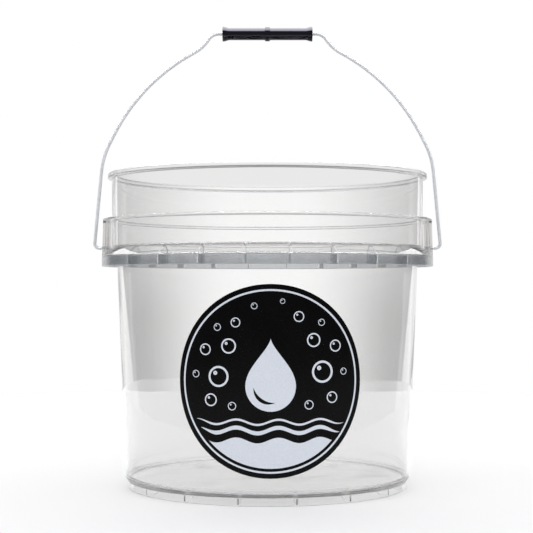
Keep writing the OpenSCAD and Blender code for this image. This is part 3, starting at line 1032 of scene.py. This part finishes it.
@dataclass
class BailWire:
    """The bent wire: legs, knees, arches, crimps and the straight hand span, with a head at each end.

    Sizes are in millimetres and degrees.
    """

    sides: int = 32
    radius: float = 1.55
    leg_x: float = 163.3
    elbow_radius: float = 4.5
    leg_lean: float = 5.4
    leg_length: float = 67.5
    knee: Tuple[float, float] = (75.0, 22.0)
    shoulder_length: float = 10.5
    arch_turn: float = 34.3
    crimp: Tuple[float, float] = (39.0, 28.3)
    span_radius: float = 11.5
    span_half: float = 45.85
    head_radius: float = 2.5
    head_thickness: float = 1.4
    head_ease: float = 0.45
    head_x: float = 148.34
    pivot: float = field(init=False)

    def __post_init__(self) -> None:
        """Takes the pivot line from the frame."""
        self.pivot = joint_place("bail_swing")[2] / MM

    def straight(self, state: Array, length: float, steps: int) -> Tuple[Array, Array]:
        """A straight run from a state of x, z and heading.

        Args:
            state: Where the run starts and which way it heads, in degrees.
            length: Its length.
            steps: How many points to give, the start left out.

        Returns:
            (steps, 3) states along the run, and the last of them.
        """
        s = np.linspace(0.0, length, steps + 1)[1:]
        heading = math.radians(state[2])
        run = np.stack([state[0] + s * math.cos(heading), state[1] + s * math.sin(heading),
                        np.full(steps, state[2])], axis=-1)
        return run, run[-1]

    def bend(self, state: Array, radius: float, turn: float, steps: int) -> Tuple[Array, Array]:
        """A bend of one radius from a state of x, z and heading.

        Formula: x grows by k (sin h' - sin h) and z by -k (cos h' - cos h), where k is the radius
        with the turn's sign and h' is the heading so far.

        Args:
            state: Where the bend starts and which way it heads, in degrees.
            radius: Its radius.
            turn: The angle turned, positive to the left of the way it heads.
            steps: How many points to give, the start left out.

        Returns:
            (steps, 3) states along the bend, and the last of them.
        """
        k = math.copysign(radius, turn)
        heading = state[2] + turn * np.linspace(0.0, 1.0, steps + 1)[1:]
        h, start = np.radians(heading), math.radians(state[2])
        run = np.stack([state[0] + k * (np.sin(h) - math.sin(start)),
                        state[1] - k * (np.cos(h) - math.cos(start)), heading], axis=-1)
        return run, run[-1]

    def half_line(self) -> Array:
        """Centre line of the right half, from its elbow to the middle of the span.

        Formula: the runs follow one another, and the arch's radius is the one that leaves the
        span its stated half length.

        Returns:
            (n, 3) rows of x, z and heading.
        """
        state = np.array([self.leg_x - self.elbow_radius, 0.0, 0.0])
        start = state[None]
        elbow, state = self.bend(state, self.elbow_radius, 90.0 + self.leg_lean, 14)
        leg, state = self.straight(state, self.leg_length, 14)
        knee, state = self.bend(state, self.knee[0], self.knee[1], 14)
        shoulder, state = self.straight(state, self.shoulder_length, 3)
        turned_to = math.radians(state[2] + self.arch_turn)
        span_at = turned_to - math.radians(self.crimp[1])
        end_x = (self.span_half + self.crimp[0] * (math.sin(span_at) - math.sin(turned_to))
                 + self.span_radius * math.sin(span_at))
        arch_radius = (state[0] - end_x) / (math.sin(math.radians(state[2])) - math.sin(turned_to))
        arch, state = self.bend(state, arch_radius, self.arch_turn, 36)
        crimp, state = self.bend(state, self.crimp[0], -self.crimp[1], 12)
        last, state = self.bend(state, self.span_radius, 180.0 - state[2], 14)
        span, state = self.straight(state, state[0], 10)
        return np.concatenate([start, elbow, leg, knee, shoulder, arch, crimp, last, span])

    def head_line(self) -> Tuple[Array, Array]:
        """The upset head and the run out to the elbow, as rows of x, z, heading and their radii.

        Formula: x goes out from the head's tip, and the radius follows a quarter round up to the
        head's, holds, and drops in a quarter round to the wire's.

        Returns:
            (n, 3) rows of x, z and heading, and (n,) radii.
        """
        t = np.linspace(0.0, 1.0, 6) * (math.pi / 2)
        r, h, ease = self.head_radius, self.head_thickness, self.head_ease
        neck = self.radius + 0.1
        x = np.concatenate([ease * (1 - np.cos(t)), [h - ease], h - ease * (1 - np.sin(t)), [h + 0.6],
                            np.linspace(h + 1.5, self.leg_x - self.elbow_radius - self.head_x - 0.3, 6)])
        size = np.concatenate([(r - ease) + ease * np.sin(t), [r], neck + (r - neck) * np.cos(t),
                               [self.radius], np.full(6, self.radius)])
        return np.stack([self.head_x + x, np.zeros_like(x), np.zeros_like(x)], axis=-1), size

    def build(self) -> bpy.types.Object:
        """Makes the wire as one closed tube.

        Formula: each ring of the tube is centre + radius (cos v * side + sin v * Y), where side is
        the heading turned a quarter to its left. The map's first number is the length so far in
        tenths of a metre, and its second is v in parts of a turn.

        Returns:
            The finished piece.
        """
        head, head_size = self.head_line()
        half = np.concatenate([head, self.half_line()])
        half_size = np.concatenate([head_size, np.full(len(half) - len(head_size), self.radius)])
        other = half[:-1][::-1] * np.array([-1.0, 1.0, -1.0])
        line = np.concatenate([half, other])
        size = np.concatenate([half_size, half_size[:-1][::-1]])
        heading = np.radians(line[:, 2])
        heading[len(half):] += 2 * math.pi
        side = np.stack([-np.sin(heading), np.zeros_like(heading), np.cos(heading)], axis=-1)
        v = np.arange(self.sides) * (2 * math.pi / self.sides)
        centre = np.stack([line[:, 0], np.zeros(len(line)), line[:, 1] + self.pivot], axis=-1)
        rings = (centre[:, None] + size[:, None, None] * (np.cos(v)[None, :, None] * side[:, None]
                 + np.sin(v)[None, :, None] * np.array([0.0, 1.0, 0.0])))
        points, faces = layered_block(rings * MM)
        wire = mesh_object("bail_rod", points, faces)
        steps = np.linalg.norm(np.diff(centre, axis=0), axis=1)
        self.map_round(wire, np.concatenate([[0.0], np.cumsum(steps)]) / 100.0, len(line))
        return dressed(wire, ZincWire(), "bail", "bail_wire")

    def map_round(self, wire: bpy.types.Object, length: Array, rows: int) -> None:
        """Writes the wire's own map, with its seam closed.

        Formula: a face corner takes its ring's length and its own share of the turn, and a corner
        more than half a turn below its face's largest share is one turn on.

        Args:
            wire: The tube.
            length: (rows,) length so far at each ring.
            rows: How many rings it has.
        """
        mesh = wire.data
        corner = np.empty(len(mesh.loops), np.int32)
        mesh.loops.foreach_get("vertex_index", corner)
        starts = np.empty(len(mesh.polygons), np.int32)
        mesh.polygons.foreach_get("loop_start", starts)
        ring = np.where(corner >= rows * self.sides, np.where(corner == rows * self.sides, 0, rows - 1),
                        corner // self.sides)
        share = (corner % self.sides) / self.sides
        widest = np.maximum.reduceat(share, starts)
        face = np.repeat(np.arange(len(starts)), np.diff(np.append(starts, len(corner))))
        share = np.where(widest[face] - share > 0.5, share + 1.0, share)
        place = np.stack([length[ring], share], axis=-1).astype(np.float32)
        mesh.uv_layers.new(name="wire_map").uv.foreach_set("vector", place.reshape(-1))


@dataclass
class TubeGrip:
    """The moulded tube that turns on the wire: flared ends, a round band and a parting line.

    Sizes are in millimetres, and its place in metres.
    """

    barrel: float = 5.7
    end_rise: float = 1.4
    band_rise: float = 1.15
    half_length: float = 42.45
    flare: float = 6.5
    band_half: float = 2.1
    bore: float = 1.65
    seam_height: float = 0.09
    place: Array = field(init=False)

    def __post_init__(self) -> None:
        """Takes the grip's turning line from the frame."""
        self.place = joint_place("grip_spin")

    def section(self) -> Array:
        """The tube's section, once round, from one end of the bore.

        Formula: the flare is a cosine from the barrel to the lip, and the band is a rounded bar.

        Returns:
            (m, 2) rows of radius and length in millimetres.
        """
        lip, half, band = self.barrel + self.end_rise, self.half_length, self.barrel + self.band_rise
        curve = np.linspace(0.0, 1.0, 6)[:, None]
        rise = 0.5 - 0.5 * np.cos(math.pi * curve)
        flare = np.hstack([self.barrel + (lip - 0.15 - self.barrel) * rise,
                           half - self.flare + (self.flare - 1.4) * curve, np.full_like(curve, 0.8)])
        right = np.concatenate([
            [[band, self.band_half, 0.9], [self.barrel, self.band_half + 0.35, 0.5]],
            flare,
            [[lip, half - 0.9, 0.5], [lip - 0.1, half, 0.7], [self.bore + 0.7, half, 0.35],
             [self.bore, half - 0.8, 0.3]],
        ])
        left = right[::-1] * np.array([1.0, -1.0, 1.0])
        return rounded_outline(np.concatenate([right, left]), 5)

    def build(self) -> bpy.types.Object:
        """Makes the tube as one closed ring of section.

        Formula: the parting line, along the top and the bottom, is a swell of seam height times
        exp(-(d / w)^2), where d is the sine of the angle from the line and w its width. It runs on
        the outer faces only and dies away on the lips.

        Returns:
            The finished piece.
        """
        base = np.linspace(0.0, 2 * math.pi, 72, endpoint=False)
        fine = np.array([-0.09, -0.06, -0.035, -0.018, 0.018, 0.035, 0.06, 0.09])
        angles = np.unique(np.round(np.concatenate([base, fine + 0.5 * math.pi, fine + 1.5 * math.pi]), 6))
        section = self.section()
        off = np.abs(np.cos(angles))
        outer = np.clip((section[:, 0] - self.barrel + 0.4) / 0.4, 0.0, 1.0)
        below_lip = np.clip((self.barrel + self.end_rise - section[:, 0]) / 0.4, 0.0, 1.0)
        swell = self.seam_height * np.exp(-(off / 0.03) ** 2)[None] * (outer * below_lip)[:, None]
        points, faces = turned_ring(section, angles, swell)
        points = np.stack([points[:, 2], points[:, 0], points[:, 1]], axis=-1) * MM + self.place
        grip = mesh_object("tube_grip", points, facing_out(points, faces))
        return dressed(grip, BlackMoulding(), "grip", "grip")


# --------------------------------------------------------------------------------------------------
# The decal
# --------------------------------------------------------------------------------------------------


@dataclass
class FrontDecal:
    """A round printed film on the front of the wall: a water drop, bubbles and waves in a ring.

    Sizes are in millimetres. A layer is how far the back and the front of a print stand off the film.
    """

    shell: BucketShell
    radius: float = 82.5
    turn_deg: float = 1.1
    film: float = 0.18
    lift: float = 0.03
    pale_layer: Tuple[float, float] = (0.005, 0.03)
    dark_layer: Tuple[float, float] = (0.035, 0.055)
    wave_length: float = 36.0
    height: float = field(init=False)

    def __post_init__(self) -> None:
        """Takes the decal's height from the frame."""
        low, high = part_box("decal")
        self.height = 0.5 * (low.z + high.z) / MM

    def wrapped(self, flat: Array, lift: float) -> Array:
        """Lays flat artwork on the tapered wall.

        Formula: with a and b across and up the flat sheet, z is the decal's height plus b, the
        radius R is the wall's at z plus the lift, and the angle from the front is a over R.

        Args:
            flat: (..., 2) places on the flat sheet in millimetres.
            lift: How far off the wall, in millimetres.

        Returns:
            (..., 3) places in metres.
        """
        z = self.height + flat[..., 1]
        r = self.shell.body_radius(z) + lift
        angle = flat[..., 0] / r + math.radians(self.turn_deg) - math.pi / 2
        return np.stack([r * np.cos(angle), r * np.sin(angle), z], axis=-1) * MM

    def sheet(self, flat: Array, closed: bool, low: float, high: float) -> Tuple[Array, Faces]:
        """A thin closed sheet between two lifts, over a grid on the flat artwork.

        Formula: the grid is laid once at each lift, the two are joined along the grid's edges, and
        columns wrap where the grid goes right round.

        Args:
            flat: (rows, columns, 2) grid on the flat sheet.
            closed: True if the last column meets the first.
            low: Lift of the back.
            high: Lift of the front.

        Returns:
            Vertices and faces, facing out.
        """
        rows, columns = flat.shape[:2]
        count = rows * columns
        points = np.concatenate([self.wrapped(flat, lift).reshape(-1, 3) for lift in (high, low)])
        front = grid_quads(rows, columns, wrap_columns=closed)
        number = np.arange(count).reshape(rows, columns)
        if closed:
            edges = [number[0], number[-1][::-1]]
        else:
            around = [number[0, :-1], number[:-1, -1], number[-1, :0:-1], number[:0:-1, 0]]
            edges = [np.concatenate(around)]
        rims = [np.stack([e, np.roll(e, -1), np.roll(e, -1) + count, e + count], axis=-1) for e in edges]
        faces = [np.concatenate([front[:, ::-1], front + count, *rims])]
        return points, facing_out(points, faces)

    def ring_grid(self, centre: Tuple[float, float], inner: float, outer: float, steps: int) -> Array:
        """A flat ring, or a disc if its inner radius is near nothing.

        Formula: the point at radius r and angle t is centre + (r cos t, r sin t), with r along the
        rows and t along the columns.

        Args:
            centre: Its middle on the sheet.
            inner: Inner radius.
            outer: Outer radius.
            steps: Steps round it.

        Returns:
            (rows, steps, 2) grid.
        """
        t = np.arange(steps) * (2 * math.pi / steps)
        r = np.linspace(inner, outer, 3 if outer - inner < 10 else 24)[:, None]
        return np.stack([centre[0] + r * np.cos(t), centre[1] + r * np.sin(t)], axis=-1)

    def drop_grid(self, centre: Tuple[float, float], height: float, width: float) -> Array:
        """A flat water drop, pointed at the top.

        Formula: above the widest level the half width is 0.5 width times sin(t pi / 2) to the power
        1.45, with t from 0 at the tip to 1 at that level. Below it the outline is a half circle.

        Args:
            centre: The middle of its widest level.
            height: From its foot to its tip.
            width: At its widest.

        Returns:
            (rows, columns, 2) grid from side to side.
        """
        half = 0.5 * width
        t = np.linspace(0.0, 1.0, 60)
        up = (height - half) * (1 - t)
        upper = half * np.sin(0.5 * math.pi * t) ** 1.45
        a = np.linspace(0.0, math.pi / 2, 40)[1:]
        b = np.concatenate([up, -half * np.sin(a)])
        w = np.concatenate([upper, half * np.cos(a)])
        w[0], w[-1] = 0.05, 0.05
        across = np.linspace(-1.0, 1.0, 15)[:, None]
        return np.stack([centre[0] + across * w, centre[1] + np.broadcast_to(b, (15, len(b)))], axis=-1)

    def wave_grid(self, level: float, thickness: float, height: float, phase: float, reach: float) -> Array:
        """A flat wave band that ends on a circle.

        Formula: the band's middle is level + height sin(2 pi x / L + phase), with L the wave's
        length, and it runs out to where a circle of the given reach cuts its level.

        Args:
            level: Its height on the sheet.
            thickness: Its thickness.
            height: How far it swings up and down.
            phase: Where in the wave it starts, in radians.
            reach: Radius of the circle.

        Returns:
            (rows, columns, 2) grid along the band.
        """
        half = math.sqrt(reach ** 2 - level ** 2)
        x = np.linspace(-half, half, 120)[None, :]
        taper = np.clip((half - np.abs(x)) / 14.0, 0.0, 1.0) ** 0.7
        across = np.linspace(-0.5, 0.5, 4)[:, None]
        swing = height * np.sin(2 * math.pi * x / self.wave_length + phase)
        y = level + swing + across * thickness * taper
        return np.stack([np.broadcast_to(x, y.shape), y], axis=-1)

    def pool_grid(self, level: float, height: float, phase: float, reach: float) -> Array:
        """The flat water below a wavy surface, down to a circle.

        Formula: at each x the rows run evenly from the circle's -sqrt(reach^2 - x^2) up to
        level + height sin(2 pi x / L + phase), with L the wave's length.

        Args:
            level: The surface's mean height on the sheet.
            height: How far the surface swings up and down.
            phase: Where in the wave it starts, in radians.
            reach: Radius of the circle.

        Returns:
            (rows, columns, 2) grid.
        """
        half = math.sqrt(reach ** 2 - level ** 2) - 0.6
        x = np.linspace(-half, half, 121)[None, :]
        top = level + height * np.sin(2 * math.pi * x / self.wave_length + phase)
        foot = -np.sqrt(reach ** 2 - x ** 2)
        share = np.linspace(0.0, 1.0, 14)[:, None]
        y = foot + share * np.maximum(top - foot, 0.05)
        return np.stack([np.broadcast_to(x, y.shape), y], axis=-1)

    def pale_shapes(self) -> List[Tuple[Array, bool]]:
        """Every pale shape of the artwork, as flat grids and whether each goes right round.

        Returns:
            Grids with True for rings.
        """
        shapes: List[Tuple[Array, bool]] = [
            (self.ring_grid((0.0, 0.0), 76.6, 78.2, 240), True),
            (self.pool_grid(-50.0, 2.4, 0.4, 74.0), False),
            (self.wave_grid(-41.5, 3.4, 2.4, 0.4, 74.0), False),
            (self.wave_grid(-34.5, 1.8, 2.2, 0.4, 74.0), False),
            (self.drop_grid((0.0, -4.0), 62.0, 43.0), False),
        ]
        bubbles = np.array([
            [-45.0, 4.0, 9.0], [-36.0, 30.0, 6.5], [-57.0, 27.0, 5.0], [-52.0, -16.0, 5.5],
            [-30.0, 50.0, 4.2], [-46.0, 46.0, 3.2], [45.0, 8.0, 9.5], [37.0, 35.0, 6.0],
            [57.0, 30.0, 5.2], [54.0, -14.0, 5.0], [24.0, 55.0, 4.6], [44.0, 50.0, 3.0],
            [33.0, -20.0, 4.0], [-33.0, -21.0, 3.6], [65.0, 8.0, 3.0], [-66.0, 6.0, 3.2],
            [-14.0, 64.0, 2.8], [10.0, 68.0, 2.2],
        ])
        for x, y, r in bubbles:
            shapes.append((self.ring_grid((x, y), 0.8 * r, r, 48), True))
            shapes.append((self.ring_grid((x - 0.32 * r, y + 0.34 * r), 0.04 * r, 0.2 * r, 24), True))
        return shapes

    def dark_shapes(self) -> List[Tuple[Array, bool]]:
        """The dark crescent inside the drop, as a flat grid.

        Formula: a crescent between two arcs of the same ends, with its width falling to nothing.

        Returns:
            One grid, with False since it is no ring.
        """
        t = np.linspace(math.radians(185.0), math.radians(285.0), 50)[None, :]
        s = np.linspace(-1.0, 1.0, 4)[:, None]
        r = 14.5 + s * 1.5 * np.sin((t - t[0, 0]) / (t[0, -1] - t[0, 0]) * math.pi) + 0.05 * s
        return [(np.stack([r * np.cos(t), -4.0 + r * np.sin(t)], axis=-1), False)]

    def merged(self, name: str, shapes: List[Tuple[Array, bool]], low: float,
               high: float) -> bpy.types.Object:
        """One object from several thin sheets.

        Args:
            name: The object's name.
            shapes: Flat grids, and whether each goes right round.
            low: Lift of the sheets' backs.
            high: Lift of their fronts.

        Returns:
            The object.
        """
        parts = [self.sheet(flat, closed, low, high) for flat, closed in shapes]
        starts = np.cumsum([0] + [len(p) for p, _ in parts[:-1]])
        faces = [np.concatenate([f[0] + start for (_, f), start in zip(parts, starts)])]
        return mesh_object(name, np.concatenate([p for p, _ in parts]), faces)

    def two_sided(self, mesh: bpy.types.Mesh) -> None:
        """Gives a sheet dark ink outside and plain vinyl on the faces that look at the wall.

        Formula: a face looks at the wall where its normal and its middle, both seen from above, have
        a negative dot product.

        Args:
            mesh: The sheet's mesh.
        """
        mesh.materials.append(NIGHT_INK.material())
        mesh.materials.append(VINYL_BACK.material())
        normal = np.empty(len(mesh.polygons) * 3, np.float32)
        centre = np.empty_like(normal)
        mesh.polygons.foreach_get("normal", normal)
        mesh.polygons.foreach_get("center", centre)
        inward = (normal.reshape(-1, 3)[:, :2] * centre.reshape(-1, 3)[:, :2]).sum(1) < 0
        mesh.polygons.foreach_set("material_index", inward.astype(np.int32))

    def build(self) -> List[bpy.types.Object]:
        """Makes the film and its print.

        Returns:
            The film, the pale print and the dark print.
        """
        disc = self.ring_grid((0.0, 0.0), 0.02, self.radius, 240)
        film = self.merged("decal_sheet", [(disc, True)], self.lift, self.lift + self.film)
        self.two_sided(film.data)
        front = self.lift + self.film
        pale_lifts = [front + rise for rise in self.pale_layer]
        dark_lifts = [front + rise for rise in self.dark_layer]
        pale = self.merged("decal_pale_print", self.pale_shapes(), *pale_lifts)
        dark = self.merged("decal_dark_print", self.dark_shapes(), *dark_lifts)
        return [dressed(film, NIGHT_INK, "bucket", "decal"), dressed(pale, FROST_INK, "bucket"),
                dressed(dark, NIGHT_INK, "bucket")]


# --------------------------------------------------------------------------------------------------
# The room
# --------------------------------------------------------------------------------------------------


@dataclass
class Studio:
    """A pale floor in a soft studio: a bright back screen, dark sides and one leaning overhead box.

    A direction's height is the z of its unit vector. Pairs of heights, slopes or cosines say where
    a level starts to change and where it ends.
    """

    floor_radius: float = 1.01
    floor_back: float = 0.16
    dome: Tuple[float, float] = (0.93, 1.08)
    dome_heights: Tuple[float, float] = (0.2, 0.5)
    screen_light: float = 1.19
    screen_top: float = 0.92
    screen_top_heights: Tuple[float, float] = (0.071, 0.078)
    upper_screen: float = 0.3
    upper_heights: Tuple[float, float] = (0.14, 0.32)
    band_start: Tuple[float, float] = (0.02, 0.125)
    band_end: Tuple[float, float] = (0.19, 0.3)
    band_rest: float = 0.3
    band_depth: Tuple[float, float] = (0.57, 0.32)
    band_heights: Tuple[float, float] = (-0.03, 0.05)
    gleam_light: Tuple[float, float] = (1.2, 0.84)
    gleam_cosines: Tuple[float, float] = (0.82, 0.88)
    gleam_edge: Tuple[float, float] = (0.805, 0.83)
    gleam_widening: float = 1.8
    gleam_lowest: float = -0.11
    gleam_top_heights: Tuple[float, float] = (0.2, 0.5)
    dark_side: float = 0.35
    box_light: Tuple[float, float] = (12.0, 2.2)
    box_span: Tuple[float, float] = (-0.1, 0.9)
    box_lean: float = 0.27
    box_edge: Tuple[float, float] = (0.54, 0.59)
    inner_box: float = 0.12

    def floor(self) -> bpy.types.Object:
        """Makes the floor as a flat disc of rings, shown but not part of the object.

        Returns:
            The floor.
        """
        r = np.linspace(0.0, 1.0, 12)[1:, None] * self.floor_radius
        t = np.arange(96) * (2 * math.pi / 96)
        rings = np.stack([r * np.cos(t), r * np.sin(t), np.zeros((11, 96))], axis=-1).reshape(-1, 3)
        points = np.concatenate([rings, [[0.0, 0.0, 0.0]]]) + np.array([0.0, self.floor_back, -0.0001])
        here = np.arange(96)
        fan = np.stack([here, (here + 1) % 96, np.full(96, len(rings))], axis=-1)
        quads = grid_quads(11, 96, wrap_columns=True)[:, ::-1]
        made = mesh_object("studio_floor", points, [quads, fan])
        made.data.materials.append(PaleFloor().material())
        return made

    def show(self, scene: bpy.types.Scene) -> None:
        """Lets light turn many times inside the clear plastic, and shows plain white as white.

        Args:
            scene: The scene to set.
        """
        scene.view_settings.view_transform = "Standard"
        scene.cycles.max_bounces = scene.cycles.transmission_bounces = 32
        scene.cycles.glossy_bounces = 24
        scene.cycles.blur_glossy = 0.15

    def light(self) -> None:
        """Lights the room by direction alone: once for matt faces, once seen through, once in gleams.

        Formula: matt faces get a dome that brightens with height. Seen through, the screens have a
        level less a band that is widest a few degrees off the Y axis and deepest below the horizon,
        and they fall off overhead. In gleams, the back screen is bright out to an edge that widens
        below the horizon, the sides are dark, and a wide box hangs overhead, leaning back. Gleams
        count at the first mirror only, since light that turns on inside the plastic would add up.
        """
        world = bpy.data.worlds.new("studio")
        world.use_nodes = True
        bpy.context.scene.world = world
        w = Wiring(world.node_tree)
        way = w.add("ShaderNodeSeparateXYZ", {0: w.add("ShaderNodeTexCoord").outputs["Generated"]})
        x, y, z = way.outputs
        flat = w.math("SQRT", w.math("ADD", w.math("MULTIPLY", x, x), w.math("MULTIPLY", y, y)))
        along = w.math("DIVIDE", y, w.math("MAXIMUM", flat, 0.0001))
        aside = w.math("DIVIDE", w.math("ABSOLUTE", x), w.math("MAXIMUM", w.math("ABSOLUTE", y), 0.0001))
        dome = w.ramp(z, *self.dome_heights, *self.dome)
        path = w.add("ShaderNodeLightPath").outputs
        straight = w.math("SUBTRACT", 1.0, w.math("MINIMUM", path["Diffuse Depth"], 1.0))
        through = w.math("MULTIPLY", straight, path["Is Transmission Ray"])
        once = w.math("MINIMUM", path["Glossy Depth"], 1.0)
        past_first = w.math("MAXIMUM", w.math("SUBTRACT", path["Glossy Depth"], 1.0), 0.0)
        again = w.math("MINIMUM", past_first, 1.0)
        mirrored = w.math("MULTIPLY", straight, w.math("SUBTRACT", once, again))
        outside = w.math("SUBTRACT", 1.0, w.math("MINIMUM", path["Transmission Depth"], 1.0))
        share = w.math("MAXIMUM", outside, self.inner_box)
        level = w.blend(through, dome, self.seen_through(w, aside, z))
        level = w.blend(mirrored, level, self.gleams(w, along, y, z, share))
        level = w.blend(path["Is Camera Ray"], level, 1.0)
        shade = w.add("ShaderNodeBackground", {"Color": (1.0, 1.0, 1.0, 1.0), "Strength": level})
        w.add("ShaderNodeOutputWorld", {"Surface": shade.outputs[0]})

    def seen_through(self, w: Wiring, aside: Any, z: Any) -> bpy.types.NodeSocket:
        """The screens' level as it is seen through clear plastic.

        Args:
            w: The world's wiring.
            aside: Tangent of the angle off the Y axis.
            z: The direction's height.

        Returns:
            The level's socket.
        """
        band = w.math("MULTIPLY", w.ramp(aside, *self.band_start, 0.0, 1.0),
                      w.ramp(aside, *self.band_end, 1.0, self.band_rest))
        level = w.math("MULTIPLY", band, w.ramp(z, *self.band_heights, *self.band_depth))
        level = w.math("SUBTRACT", self.screen_light, level)
        level = w.blend(w.ramp(z, *self.screen_top_heights, 0.0, 1.0), level, self.screen_top)
        return w.blend(w.ramp(z, *self.upper_heights, 0.0, 1.0), level, self.upper_screen)

    def gleams(self, w: Wiring, along: Any, y: Any, z: Any, share: Any) -> bpy.types.NodeSocket:
        """The room's level as it shows in reflections.

        Args:
            w: The world's wiring.
            along: Cosine of the angle off the back.
            y: How far the direction points back.
            z: The direction's height.
            share: How much of the box shows, which is less inside the plastic.

        Returns:
            The level's socket.
        """
        dip = w.math("MINIMUM", w.math("MAXIMUM", z, self.gleam_lowest), 0.0)
        widened = w.math("MULTIPLY_ADD", dip, -self.gleam_widening, along)
        edge = w.ramp(widened, *self.gleam_edge, 0.0, 1.0)
        level = w.blend(edge, self.dark_side, w.ramp(along, *self.gleam_cosines, *self.gleam_light))
        level = w.blend(w.ramp(z, *self.gleam_top_heights, 0.0, 1.0), level, self.upper_screen)
        lean = w.math("MULTIPLY_ADD", y, self.box_lean, z)
        box = w.math("MULTIPLY", w.ramp(lean, *self.box_edge, 0.0, 1.0), share)
        return w.math("MULTIPLY_ADD", box, w.ramp(y, *self.box_span, *self.box_light), level)


@dataclass
class Viewpoint:
    """The camera: level, at about the bucket's mid height, from the front."""

    distance: float = 1.277
    eye_height: float = 0.185
    aside: float = -0.0009
    lens: float = 91.2
    rise: float = 0.0422

    def place(self) -> bpy.types.Object:
        """Makes the camera and sets it as the scene's.

        Returns:
            The camera.
        """
        lens = bpy.data.cameras.new("viewpoint")
        lens.lens, lens.sensor_width, lens.shift_y = self.lens, 36.0, self.rise
        lens.clip_start, lens.clip_end = 0.05, 50.0
        camera = bpy.data.objects.new("viewpoint", lens)
        bpy.context.scene.collection.objects.link(camera)
        camera.location = (self.aside, -self.distance, self.eye_height)
        camera.rotation_euler = (math.pi / 2, 0.0, 0.0)
        bpy.context.scene.camera = camera
        return camera


def main() -> None:
    """Builds the bucket, its bail, grip and decal, and the room round them."""
    logging.basicConfig(level=logging.INFO, format="%(name)s: %(message)s")
    Viewpoint().place()
    shell = BucketShell()
    shell.build()
    BailWire().build()
    TubeGrip().build()
    FrontDecal(shell).build()
    studio = Studio()
    studio.floor()
    studio.light()
    studio.show(bpy.context.scene)


if __name__ == "__main__":
    main()
